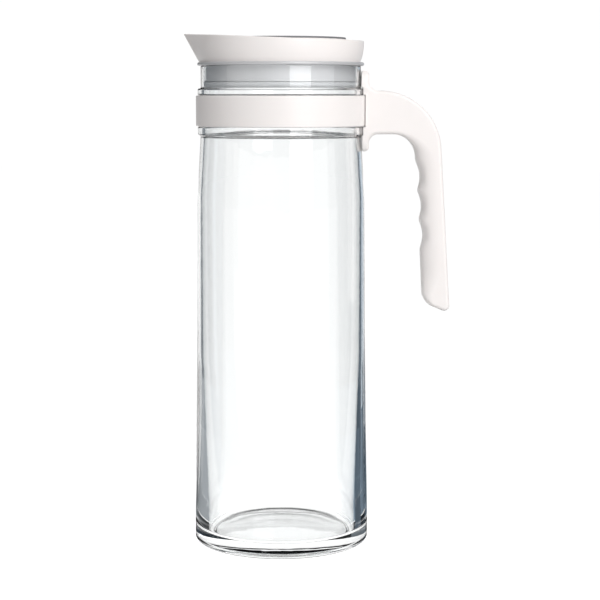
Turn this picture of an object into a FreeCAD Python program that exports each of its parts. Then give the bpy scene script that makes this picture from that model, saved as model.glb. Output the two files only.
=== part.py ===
"""Large glass water jug: pressed glass body, clamped collar and handle, spouted lid with a pour dial.

Millimetres. +Z is up, the jug's axis is Z, the table is z = 0, the handle points to +X and the spout to -X.
The driving dimensions are in the sheet named sizes; every feature is bound to them.
"""
import FreeCAD, Part
import math
import operator
import os
from types import SimpleNamespace

import Sketcher
from FreeCAD import Placement, Rotation, Vector

os.makedirs("parts", exist_ok=True)
doc = FreeCAD.newDocument("water_jug")

# ---------------------------------------------------------------- driving dimensions

DIMENSIONS = {
    # glass, outside
    "base_radius": 52.0,
    "foot_inner": 41.2,
    "punt_radius": 39.8,
    "punt_depth": 1.6,
    "waist_level": 130.0,
    "waist_radius": 50.2,
    "shoulder_level": 206.0,
    "shoulder_radius": 49.5,
    "shoulder_end": 243.0,
    "neck_radius": 47.1,
    "bead_radius": 48.9,
    "bead_low": 244.0,
    "band_low": 248.8,
    "band_high": 266.7,
    "bead_high": 270.8,
    "rim_level": 283.9,
    # glass, inside
    "floor_level": 8.2,
    "floor_corner": 2.5,
    "bore_low": 44.4,
    "bore_mid": 47.0,
    "bore_throat": 44.9,
    "bore_neck": 45.4,
    # collar
    "liner_thickness": 0.6,
    "band_radius": 49.5,
    "band_inner": 47.8,
    "tab_gap": 0.3,
    "tab_thickness": 1.6,
    "tab_reach": 60.0,
    "screw_inset": 56.0,
    # handle
    "half_width": 9.5,
    "root_face": 46.9,
    "tongue_face": 52.0,
    "tongue_top": 281.3,
    "tongue_low": 234.0,
    "arm_top": 269.6,
    "arm_under": 244.1,
    "outer_bend": 36.0,
    "inner_bend": 13.5,
    "outer_high": 92.4,
    "outer_low": 100.3,
    "grip_end": 138.0,
    "heel_level": 144.7,
    "heel_round": 9.0,
    "inner_high": 78.6,
    "inner_low": 84.2,
    "crest_level": 228.0,
    "finger_pitch": 17.2,
    "finger_depth": 2.1,
    "handle_wall": 2.4,
    "edge_round": 2.6,
    "elbow_boss_reach": 78.5,
    "elbow_boss_level": 251.5,
    "grip_boss_reach": 91.5,
    "grip_boss_level": 160.0,
    "boss_radius": 4.4,
    # screws
    "screw_radius": 1.45,
    "screw_hole": 1.5,
    "screw_clearance": 1.7,
    "screw_head": 2.9,
    "head_height": 1.9,
    "head_seat": 2.8,
    "screw_depth": 6.2,
    "counterbore": 3.3,
    "plug_radius": 3.25,
    "plug_thickness": 2.0,
    # stopper and its ring
    "flange_radius": 49.0,
    "flange_low": 284.0,
    "flange_top": 286.6,
    "stopper_radius": 44.1,
    "stopper_bore": 41.4,
    "ring_seat": 43.0,
    "ring_inner": 43.05,
    "ring_outer": 45.35,
    "ring_low": 271.1,
    "ring_top": 274.9,
    "stopper_end": 271.5,
    # lid cap
    "cap_low_radius": 46.75,
    "cap_low_reach": 48.5,
    "cap_mid_level": 291.0,
    "cap_mid_radius": 48.05,
    "cap_mid_reach": 51.1,
    "cap_top_level": 303.2,
    "cap_top_radius": 48.85,
    "spout_reach": 57.3,
    "spout_round": 1.2,
    "cap_wall": 2.0,
    "deck_level": 296.0,
    "deck_reach": 51.2,
    "rim_back": 298.4,
    "rim_middle": 299.3,
    "rim_front": 302.6,
    "well_radius": 38.6,
    "spigot_radius": 42.2,
    "spigot_low": 280.8,
    "sill_level": 290.4,
    "channel_half": 15.0,
    "channel_end": 51.0,
    "spider_top": 285.4,
    "hub_radius": 8.0,
    "stem_bore": 4.05,
    "spoke_half": 2.0,
    # dial
    "dial_radius": 38.2,
    "dial_top": 300.0,
    "dial_skin": 2.0,
    "drum_low": 286.2,
    "drum_inner": 36.4,
    "cup_radius": 27.0,
    "cup_depth": 7.0,
    "cup_skin": 1.6,
    "bar_half": 5.0,
    "stem_radius": 4.0,
    "stem_low": 280.6,
    "window_half": 15.0,
    "window_low": 290.4,
    "window_top": 297.0,
    "seal_level": 287.6,
    "seal_centre": 38.0,
    "seal_section": 0.5,
    "lug_inner": 18.0,
    "lug_outer": 24.0,
    "lug_low": 283.2,
    "washer_radius": 7.5,
    "washer_thickness": 0.9,
    "strainer_slot": 1.4,
    "strainer_pitch": 2.8,
}

sheet = doc.addObject("Spreadsheet::Sheet", "sizes")
for row, (name, number) in enumerate(DIMENSIONS.items(), start=1):
    sheet.set(f"A{row}", name)
    sheet.set(f"B{row}", str(number))
    sheet.setAlias(f"B{row}", name)
doc.recompute()


class Size:
    """A length taken from the sheet, or worked out from it, with the formula that gives it."""

    def __init__(self, value, formula):
        self.value = value
        self.formula = formula

    def _join(self, other, sign, result):
        other = as_size(other)
        return Size(result(self.value, other.value), f"({self.formula} {sign} {other.formula})")

    def __add__(self, other):
        return self._join(other, "+", operator.add)

    def __radd__(self, other):
        return as_size(other) + self

    def __sub__(self, other):
        return self._join(other, "-", operator.sub)

    def __rsub__(self, other):
        return as_size(other) - self

    def __mul__(self, other):
        return self._join(other, "*", operator.mul)

    __rmul__ = __mul__

    def __truediv__(self, other):
        return self._join(other, "/", operator.truediv)

    def __neg__(self):
        return 0 - self


def as_size(number):
    return number if isinstance(number, Size) else Size(float(number), str(float(number)))


d = SimpleNamespace(**{name: Size(number, f"sizes.{name}") for name, number in DIMENSIONS.items()})


def bind(feature, field, number):
    feature.setExpression(field, as_size(number).formula)


# ---------------------------------------------------------------- sketch and feature helpers


def new_body(label):
    body = doc.addObject("PartDesign::Body", label)
    body.Label = label
    return body


def new_sketch(body, role, lift=0.0, tilt=0.0, shift=0.0):
    """A sketch on one of the body's own planes, lifted along its normal; tilt turns it about its own Y."""
    sketch = body.newObject("Sketcher::SketchObject", f"{body.Name}_outline")
    plane = next(f for f in body.Origin.OriginFeatures if f.Role == role)
    sketch.AttachmentSupport = [(plane, "")]
    sketch.MapMode = "FlatFace"
    offset = Vector(as_size(shift).value, 0, as_size(lift).value)
    sketch.AttachmentOffset = Placement(offset, Rotation(Vector(0, 1, 0), tilt))
    bind(sketch, "AttachmentOffset.Base.x", shift)
    bind(sketch, "AttachmentOffset.Base.z", lift)
    return sketch


def corner_arc(before, here, after, radius):
    """The arc that rounds a corner: its two tangent points, its geometry and whether it turns left."""
    into = (here - before).normalize()
    out = (after - here).normalize()
    left = into.x * out.y - into.y * out.x > 0
    turn = into.getAngle(out)
    reach = radius * math.tan(turn / 2)
    start, end = here - into * reach, here + out * reach
    side = Vector(-into.y, into.x, 0) * (1 if left else -1)
    centre = start + side * radius
    first, last = (start, end) if left else (end, start)
    angles = [math.atan2(p.y - centre.y, p.x - centre.x) for p in (first, last)]
    arc = Part.ArcOfCircle(Part.Circle(centre, Vector(0, 0, 1), radius), *angles)
    return start, end, arc, left


def add_outline(sketch, corners):
    """A closed outline through corners (x, y) or (x, y, rounding), each bound to the sheet."""
    corners = [tuple(as_size(n) for n in corner) for corner in corners]
    count = len(corners)
    points = [Vector(c[0].value, c[1].value, 0) for c in corners]
    arcs = {}
    for i, corner in enumerate(corners):
        if len(corner) == 3:
            arcs[i] = corner_arc(points[i - 1], points[i], points[(i + 1) % count], corner[2].value)
    base = sketch.GeometryCount
    geometry = []
    for i in range(count):
        after = (i + 1) % count
        start = arcs[i][1] if i in arcs else points[i]
        end = arcs[after][0] if after in arcs else points[after]
        geometry.append(Part.LineSegment(start, end))
    arc_ids = {i: base + count + n for n, i in enumerate(arcs)}
    geometry += [arcs[i][2] for i in arcs]
    point_ids = {i: base + count + len(arcs) + n for n, i in enumerate(arcs)}
    geometry += [Part.Point(points[i]) for i in arcs]
    sketch.addGeometry(geometry, False)
    constraints, formulas = [], []

    def size_constraint(kind, size, *where):
        formulas.append((len(constraints), size))
        constraints.append(Sketcher.Constraint(kind, *where, size.value))

    for i, corner in enumerate(corners):
        line_in, line_out = base + (i - 1) % count, base + i
        if i in arcs:
            arc, point = arc_ids[i], point_ids[i]
            first, last = (1, 2) if arcs[i][3] else (2, 1)
            constraints.append(Sketcher.Constraint("Tangent", line_in, 2, arc, first))
            constraints.append(Sketcher.Constraint("Tangent", arc, last, line_out, 1))
            constraints.append(Sketcher.Constraint("PointOnObject", point, 1, line_in))
            constraints.append(Sketcher.Constraint("PointOnObject", point, 1, line_out))
            size_constraint("Radius", corner[2], arc)
            place = (point, 1)
        else:
            constraints.append(Sketcher.Constraint("Coincident", line_in, 2, line_out, 1))
            place = (line_out, 1)
        size_constraint("DistanceX", corner[0], -1, 1, *place)
        size_constraint("DistanceY", corner[1], -1, 1, *place)
    offset = sketch.ConstraintCount
    sketch.addConstraint(constraints)
    for i in point_ids.values():
        sketch.setConstruction(i, True)
    for index, size in formulas:
        bind(sketch, f"Constraints[{offset + index}]", size)


def add_circle(sketch, x, y, radius):
    x, y, radius = as_size(x), as_size(y), as_size(radius)
    centre = Vector(x.value, y.value, 0)
    circle = sketch.addGeometry(Part.Circle(centre, Vector(0, 0, 1), radius.value), False)
    for kind, where, size in (
        ("Radius", (circle,), radius),
        ("DistanceX", (-1, 1, circle, 3), x),
        ("DistanceY", (-1, 1, circle, 3), y),
    ):
        bind(sketch, f"Constraints[{sketch.addConstraint(Sketcher.Constraint(kind, *where, size.value))}]", size)


def add_rectangle(sketch, low_x, high_x, low_y, high_y, rounding=None):
    corners = [(low_x, low_y), (high_x, low_y), (high_x, high_y), (low_x, high_y)]
    add_outline(sketch, [c + ((rounding,) if rounding else ()) for c in corners])


def extrude(body, kind, sketch, length, reversed_way=False, both_ways=False):
    """A Pad or a Pocket of the sketch; a Pocket must take material away."""
    before = body.Shape.Volume if body.Shape and not body.Shape.isNull() else 0.0
    feature = body.newObject(f"PartDesign::{kind}", f"{body.Name}_{kind.lower()}")
    feature.Profile = sketch
    bind(feature, "Length", length)
    feature.Reversed = reversed_way
    feature.Midplane = both_ways
    doc.recompute()
    check_change(body, kind, before)
    return feature


def turn_round(body, kind, sketch, angle=360.0, both_ways=False):
    """A Revolution or a Groove of the sketch about the jug's axis."""
    before = body.Shape.Volume if body.Shape and not body.Shape.isNull() else 0.0
    feature = body.newObject(f"PartDesign::{kind}", f"{body.Name}_{kind.lower()}")
    feature.Profile = sketch
    feature.ReferenceAxis = (sketch, ["V_Axis"])
    feature.Angle = angle
    feature.Midplane = both_ways
    doc.recompute()
    check_change(body, kind, before)
    return feature


def check_change(body, kind, before):
    change = body.Shape.Volume - before
    adds = kind in ("Pad", "Revolution", "AdditiveLoft")
    if (change <= 0.01) if adds else (change >= -0.01):
        raise RuntimeError(f"{kind} on {body.Label} changed the volume by {change:.3f}")


def loft(body, kind, sketches):
    before = body.Shape.Volume if body.Shape and not body.Shape.isNull() else 0.0
    feature = body.newObject(f"PartDesign::{kind}", f"{body.Name}_loft")
    feature.Profile = sketches[0]
    feature.Sections = sketches[1:]
    doc.recompute()
    check_change(body, kind, before)
    return feature


def turned_body(label, corners):
    """A body turned about the jug's axis from corners (radius, height[, rounding])."""
    body = new_body(label)
    sketch = new_sketch(body, "XZ_Plane")
    add_outline(sketch, corners)
    turn_round(body, "Revolution", sketch)
    return body


def round_edges(body, radius, chosen):
    """A fillet on the edges for which chosen(edge) holds."""
    names = [f"Edge{i}" for i, edge in enumerate(body.Shape.Edges, start=1) if chosen(edge)]
    base = body.Tip
    fillet = body.newObject("PartDesign::Fillet", f"{body.Name}_fillet")
    fillet.Base = (base, names)
    bind(fillet, "Radius", radius)
    doc.recompute()


def all_at(edge, axis, level):
    """Whether the whole edge lies in the plane where that coordinate has that value."""
    return all(abs(getattr(v.Point, axis) - level) < 1e-4 for v in edge.Vertexes)


# ---------------------------------------------------------------- glass


def make_glass():
    """Pressed and fire-polished soda-lime glass: thick foot, thin upper wall, two beads round the neck."""
    turned_body("glass_jug", [
        (0, d.punt_depth),
        (d.punt_radius, d.punt_depth, 1.0),
        (d.foot_inner, 0, 0.8),
        (d.base_radius, 0, 3.0),
        (d.base_radius, 16, 60),
        (d.waist_radius, d.waist_level, 900),
        (d.shoulder_radius, d.shoulder_level, 160),
        (d.neck_radius + 0.3, d.shoulder_end, 1.5),
        (d.bead_radius, d.bead_low, 1.0),
        (d.bead_radius, d.band_low, 1.0),
        (d.neck_radius, d.band_low),
        (d.neck_radius, d.band_high),
        (d.bead_radius, d.band_high, 1.0),
        (d.bead_radius, d.bead_high, 1.0),
        (d.neck_radius, d.bead_high, 0.6),
        (d.neck_radius, d.rim_level, 0.7),
        (d.bore_neck, d.rim_level, 0.7),
        (d.bore_neck, d.band_high, 40),
        (d.bore_throat, d.shoulder_end, 25),
        (d.bore_mid, d.shoulder_level, 90),
        (d.bore_mid, 110, 300),
        (d.bore_low, 22, 120),
        (d.bore_low, d.floor_level, d.floor_corner),
        (0, d.floor_level),
    ])


# ---------------------------------------------------------------- collar


def make_liner():
    """Soft clear strip that keeps the clamped collar off the glass."""
    inner = d.neck_radius + 0.05
    outer = inner + d.liner_thickness
    turned_body("band_liner", [
        (inner, d.band_low + 0.4),
        (outer, d.band_low + 0.4),
        (outer, d.band_high - 0.4),
        (inner, d.band_high - 0.4),
    ])


def make_band():
    """Open band whose two ends turn outwards as tabs and are drawn together by the root screw."""
    body = turned_body("collar_band", [
        (d.band_inner, d.band_low, 0.3),
        (d.band_radius, d.band_low, 0.7),
        (d.band_radius, d.band_high, 0.7),
        (d.band_inner, d.band_high, 0.3),
    ])
    slit = new_sketch(body, "XY_Plane", lift=d.band_low - 1)
    add_rectangle(slit, d.root_face - 2, d.band_radius + 2, -d.tab_gap, d.tab_gap)
    extrude(body, "Pocket", slit, d.band_high - d.band_low + 2, reversed_way=True)
    for side in (-1, 1):
        tab = new_sketch(body, "XY_Plane", lift=d.band_low + 1.2)
        near, far = d.tab_gap * side, (d.tab_gap + d.tab_thickness) * side
        add_rectangle(tab, d.band_inner + 0.4, d.tab_reach, *sorted((near, far), key=lambda s: s.value))
        extrude(body, "Pad", tab, d.band_high - d.band_low - 2.4)
    hole = new_sketch(body, "XZ_Plane")
    add_circle(hole, d.screw_inset, (d.band_low + d.band_high) / 2, d.screw_clearance)
    extrude(body, "Pocket", hole, 10, both_ways=True)


# ---------------------------------------------------------------- handle

BAND_MIDDLE = (d.band_low + d.band_high) / 2
SCREWS = [
    (d.screw_inset, BAND_MIDDLE),
    (d.elbow_boss_reach, d.elbow_boss_level),
    (d.grip_boss_reach, d.grip_boss_level),
]
FINGER_LEAN = (d.inner_low - d.inner_high) / (d.arm_under - d.heel_level)
OUTER_LEAN = (d.outer_low - d.outer_high) / (d.arm_top - d.grip_end)


def finger_line(level):
    """Reach of the line through the finger crests at a level."""
    return d.inner_high + (d.arm_under - level) * FINGER_LEAN


def outer_line(level):
    """Reach of the grip's outer edge at a level."""
    return d.outer_high + (d.arm_top - level) * OUTER_LEAN


def handle_outline():
    """Side view of the handle: two tongues on the glass, the arm, and the grip with three finger hollows."""
    fingers = []
    for n in (3, 2, 1):
        crest = d.crest_level - n * d.finger_pitch
        hollow = crest + d.finger_pitch / 2
        fingers.append((finger_line(crest) - 0.15, crest, 9))
        fingers.append((finger_line(hollow) + d.finger_depth, hollow, 17))
    return [
        (d.root_face, d.tongue_top),
        (d.tongue_face, d.tongue_top, 3.4),
        (d.tongue_face, d.arm_top, 5),
        (d.outer_high, d.arm_top, d.outer_bend),
        (d.outer_low, d.grip_end, 3.2),
        (d.inner_low, d.heel_level, d.heel_round),
        *fingers,
        (finger_line(d.crest_level) - 0.15, d.crest_level, 9),
        (d.inner_high, d.arm_under, d.inner_bend),
        (d.tongue_face, d.arm_under, 5),
        (d.tongue_face, d.tongue_low, 3.4),
        (d.root_face, d.tongue_low),
    ]


def cavity_outline():
    """The hollow of each half, one wall inside the outline; the grip stays solid round its lower screw."""
    wall = d.handle_wall
    low = d.grip_boss_level + d.boss_radius
    return [
        (d.tab_reach + wall, d.arm_top - wall),
        (outer_line(d.arm_top) - wall, d.arm_top - wall, d.outer_bend - 3 * wall - 0.4),
        (outer_line(low) - wall, low, 2),
        (finger_line(low) + d.finger_depth + wall, low, 2),
        (finger_line(d.arm_under) + d.finger_depth + wall, d.arm_under + wall, d.inner_bend + wall),
        (d.tab_reach + wall, d.arm_under + wall),
    ]


def make_handle(label, side):
    """One half of the handle; side is -1 for the half towards -Y and 1 for the half towards +Y."""
    body = new_body(label)
    away = side > 0  # the XZ plane's normal points to -Y
    outline = new_sketch(body, "XZ_Plane")
    add_outline(outline, handle_outline())
    extrude(body, "Pad", outline, d.half_width, reversed_way=away)
    face = side * d.half_width.value
    root = d.root_face.value
    round_edges(body, d.edge_round, lambda e: all_at(e, "y", face) and not all_at(e, "x", root))

    for level, end in ((d.arm_top, d.tongue_top), (d.arm_under, d.tongue_low)):
        trim = new_sketch(body, "YZ_Plane", lift=d.root_face - 1)
        up = 1 if end.value > level.value else -1
        wide = d.half_width + 4
        corners = [
            (side * wide, level + up * 1.0),
            (side * (d.half_width - 0.4), level + up * 1.0, 3),
            (side * 5.2, end - up * 3.0, 4),
            (0.0, end + up * 0.6),
            (0.0, end + up * 2.0),
            (side * wide, end + up * 2.0),
        ]
        add_outline(trim, corners)
        extrude(body, "Pocket", trim, d.tongue_face - d.root_face + 2, reversed_way=True)

    seat = new_sketch(body, "XZ_Plane")
    clear = d.bead_radius + 0.25
    around = d.band_radius + 0.25
    add_outline(seat, [
        (0, d.tongue_low - 4),
        (d.bead_radius + 0.2, d.tongue_low - 4),
        (d.neck_radius + 0.9, d.bead_low - 1.3),
        (clear, d.bead_low - 1.3),
        (clear, d.band_low - 0.3),
        (around, d.band_low - 0.3),
        (around, d.band_high + 0.3),
        (clear, d.band_high + 0.3),
        (clear, d.bead_high + 0.2),
        (d.neck_radius + 0.2, d.bead_high + 0.2),
        (d.neck_radius + 0.2, d.tongue_top + 3),
        (0, d.tongue_top + 3),
    ])
    turn_round(body, "Groove", seat)

    hollow = new_sketch(body, "XZ_Plane")
    add_outline(hollow, cavity_outline())
    add_circle(hollow, d.elbow_boss_reach, d.elbow_boss_level, d.boss_radius)
    extrude(body, "Pocket", hollow, d.half_width - d.handle_wall, reversed_way=not away)

    slot = new_sketch(body, "XZ_Plane")
    add_rectangle(slot, d.root_face, d.tab_reach + 0.4, d.band_low + 0.9, d.band_high - 0.9)
    extrude(body, "Pocket", slot, d.tab_gap + d.tab_thickness + 0.2, reversed_way=not away)

    holes = new_sketch(body, "XZ_Plane")
    for reach, level in SCREWS:
        add_circle(holes, reach, level, d.screw_hole if side < 0 else d.screw_clearance)
    if side < 0:
        extrude(body, "Pocket", holes, d.screw_depth + 0.4, reversed_way=not away)
        return
    extrude(body, "Pocket", holes, d.half_width + 1, reversed_way=not away)
    seats = new_sketch(body, "XZ_Plane", lift=-d.head_seat)
    for reach, level in SCREWS:
        add_circle(seats, reach, level, d.counterbore)
    extrude(body, "Pocket", seats, d.half_width, reversed_way=not away)


def make_screws():
    """Three pan-head screws that hold the halves together; the first also draws the collar's tabs together."""
    solids = []
    for reach, level in SCREWS:
        base = Vector(reach.value, d.head_seat.value, level.value)
        into = Vector(0, -1, 0)
        shank = Part.makeCylinder(d.screw_radius.value, (d.head_seat + d.screw_depth).value, base, into)
        head = Part.makeCylinder(d.screw_head.value, d.head_height.value, base - into * d.head_height.value, into)
        rim = [e for e in head.Edges if all_at(e, "y", (d.head_seat + d.head_height).value) and len(e.Vertexes) == 1]
        head = head.makeFillet(0.7, rim)
        slot = Part.makeBox(d.screw_head.value * 2, 1.0, 0.8)
        slot.translate(base + Vector(-d.screw_head.value, d.head_height.value - 0.8, -0.4))
        solids.append(head.fuse(shank).cut(slot).removeSplitter().Solids[0])
    group = doc.addObject("Part::Feature", "handle_screws")
    group.Label = "handle_screws"
    group.Shape = Part.makeCompound(solids)
    group.Placement = Placement()


def make_plugs():
    """Three push-in plugs that close the screw holes flush with the handle's face."""
    group = doc.addObject("Part::Compound", "screw_plugs")
    group.Label = "screw_plugs"
    plugs = []
    for n, (reach, level) in enumerate(SCREWS, start=1):
        plug = doc.addObject("Part::Cylinder", f"plug_{n}")
        bind(plug, "Radius", d.plug_radius)
        bind(plug, "Height", d.plug_thickness)
        place = Vector(reach.value, (d.half_width - 0.1).value, level.value)
        plug.Placement = Placement(place, Rotation(Vector(1, 0, 0), 90))
        bind(plug, "Placement.Base.x", reach)
        bind(plug, "Placement.Base.y", d.half_width - 0.1)
        bind(plug, "Placement.Base.z", level)
        plugs.append(plug)
    group.Links = plugs
    doc.recompute()


# ---------------------------------------------------------------- stopper


def make_stopper():
    """Frosted plug with a flange that rests on the glass rim and a stepped end for the ring."""
    turned_body("stopper", [
        (d.spigot_radius + 0.1, d.flange_top),
        (d.spigot_radius + 0.1, d.spigot_low),
        (d.stopper_bore, d.spigot_low),
        (d.stopper_bore, d.stopper_end),
        (d.ring_seat, d.stopper_end, 0.4),
        (d.ring_seat, d.ring_top + 0.1),
        (d.stopper_radius, d.ring_top + 0.1, 0.4),
        (d.stopper_radius, d.flange_low, 0.8),
        (d.flange_radius, d.flange_low, 0.6),
        (d.flange_radius, d.flange_top, 0.6),
    ])


def make_ring():
    """Silicone ring that seals the stopper in the neck, with a rounded leading edge."""
    turned_body("seal_ring", [
        (d.ring_inner, d.ring_low, 0.4),
        (d.ring_outer - 1.6, d.ring_low, 0.5),
        (d.ring_outer, d.ring_low + 1.9, 1.2),
        (d.ring_outer, d.ring_top, 0.5),
        (d.ring_inner, d.ring_top),
    ])


# ---------------------------------------------------------------- lid cap


def add_drop(sketch, radius, reach, rounding):
    """A circle about the axis drawn out to a rounded tip on -X, its two sides tangent to the circle."""
    radius, reach, rounding = as_size(radius), as_size(reach), as_size(rounding)
    centre = reach - rounding
    lean = math.acos((radius.value - rounding.value) / centre.value)
    flat = math.pi - lean
    up = Vector(0, 0, 1)
    tip = Vector(-centre.value, 0, 0)
    ends = []
    for r, hub in ((radius.value, Vector()), (rounding.value, tip)):
        ends.append([hub + Vector(math.cos(a), math.sin(a), 0) * r for a in (flat, -flat)])
    sketch.addGeometry([
        Part.ArcOfCircle(Part.Circle(Vector(), up, radius.value), -flat, flat),
        Part.LineSegment(ends[0][0], ends[1][0]),
        Part.ArcOfCircle(Part.Circle(tip, up, rounding.value), flat, 2 * math.pi - flat),
        Part.LineSegment(ends[1][1], ends[0][1]),
    ], False)
    sketch.addConstraint([
        Sketcher.Constraint("Coincident", 0, 3, -1, 1),
        Sketcher.Constraint("PointOnObject", 2, 3, -1),
        Sketcher.Constraint("Tangent", 0, 2, 1, 1),
        Sketcher.Constraint("Tangent", 1, 2, 2, 1),
        Sketcher.Constraint("Tangent", 2, 2, 3, 1),
        Sketcher.Constraint("Tangent", 3, 2, 0, 1),
    ])
    for kind, where, size in (
        ("Radius", (0,), radius),
        ("Radius", (2,), rounding),
        ("DistanceX", (-1, 1, 2, 3), -centre),
    ):
        bind(sketch, f"Constraints[{sketch.addConstraint(Sketcher.Constraint(kind, *where, size.value))}]", size)


def make_cap():
    """White cap: flared drop-shaped wall, sunk deck, pouring channel, round well and a hub on three spokes."""
    body = new_body("lid_cap")
    sections = []
    for level, radius, reach, rounding in (
        (d.flange_top, d.cap_low_radius, d.cap_low_reach, 12.0),
        (d.cap_mid_level, d.cap_mid_radius, d.cap_mid_reach, 6.0),
        (d.cap_top_level, d.cap_top_radius, d.spout_reach, d.spout_round),
    ):
        section = new_sketch(body, "XY_Plane", lift=level)
        add_drop(section, radius, reach, rounding)
        sections.append(section)
    loft(body, "AdditiveLoft", sections)

    top = new_sketch(body, "XZ_Plane")
    above = d.cap_top_level + 3
    add_outline(top, [
        (-d.spout_reach - 2, d.rim_front + 0.15),
        (0, d.rim_middle - 0.35, 900),
        (d.cap_top_radius + 2, d.rim_back),
        (d.cap_top_radius + 2, above),
        (-d.spout_reach - 2, above),
    ])
    extrude(body, "Pocket", top, 2 * d.spout_reach, both_ways=True)

    inside = []
    for level, radius, reach, rounding in (
        (d.deck_level, d.cap_top_radius - d.cap_wall - 0.4, d.deck_reach, 5.0),
        (d.cap_top_level + 1, d.cap_top_radius - d.cap_wall, d.spout_reach - d.cap_wall, 2.0),
    ):
        section = new_sketch(body, "XY_Plane", lift=level)
        add_drop(section, radius, reach, rounding)
        inside.append(section)
    loft(body, "SubtractiveLoft", inside)

    well = new_sketch(body, "XY_Plane", lift=d.flange_top - 1)
    add_circle(well, 0, 0, d.well_radius)
    extrude(body, "Pocket", well, d.cap_top_level - d.flange_top + 2, reversed_way=True)

    spigot = new_sketch(body, "XY_Plane", lift=d.spigot_low)
    add_circle(spigot, 0, 0, d.spigot_radius)
    add_circle(spigot, 0, 0, d.well_radius)
    extrude(body, "Pad", spigot, d.flange_top - d.spigot_low)

    core = new_sketch(body, "XZ_Plane")
    add_outline(core, [
        (d.well_radius + d.cap_wall, d.flange_top + 1.6),
        (d.cap_low_radius - d.cap_wall, d.flange_top + 1.6),
        (d.cap_low_radius - d.cap_wall + 0.6, d.deck_level - d.cap_wall, 0.8),
        (d.well_radius + d.cap_wall, d.deck_level - d.cap_wall, 0.8),
    ])
    turn_round(body, "Groove", core, 240.0, both_ways=True)

    hub = new_sketch(body, "XY_Plane", lift=d.spigot_low + 0.2)
    add_circle(hub, 0, 0, d.hub_radius)
    extrude(body, "Pad", hub, d.spider_top - d.spigot_low - 0.2)
    for heading in (180, 107, -107):
        spoke = new_sketch(body, "XY_Plane", lift=d.spigot_low + 0.2)
        spoke.AttachmentOffset = Placement(spoke.AttachmentOffset.Base, Rotation(Vector(0, 0, 1), heading))
        add_rectangle(spoke, d.hub_radius - 1, d.well_radius + 0.8, -d.spoke_half, d.spoke_half)
        extrude(body, "Pad", spoke, d.spider_top - d.spigot_low - 0.2)
    bore = new_sketch(body, "XY_Plane", lift=d.spigot_low - 1)
    add_circle(bore, 0, 0, d.stem_bore)
    extrude(body, "Pocket", bore, d.spider_top - d.spigot_low + 2, reversed_way=True)

    rise = math.degrees(math.atan2(d.deck_level.value - d.sill_level.value, (d.channel_end - d.well_radius).value))
    channel = new_sketch(body, "XY_Plane", lift=d.sill_level, shift=-d.well_radius, tilt=rise)
    run = (d.channel_end - d.well_radius) / math.cos(math.radians(rise))
    add_outline(channel, [
        (6, -d.channel_half),
        (6, d.channel_half),
        (-run * 0.35, d.channel_half - 1, 6),
        (-run - 1, 3.2, 3),
        (-run - 1, -3.2, 3),
        (-run * 0.35, 1 - d.channel_half, 6),
    ])
    extrude(body, "Pocket", channel, 12, reversed_way=True)


# ---------------------------------------------------------------- dial


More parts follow.
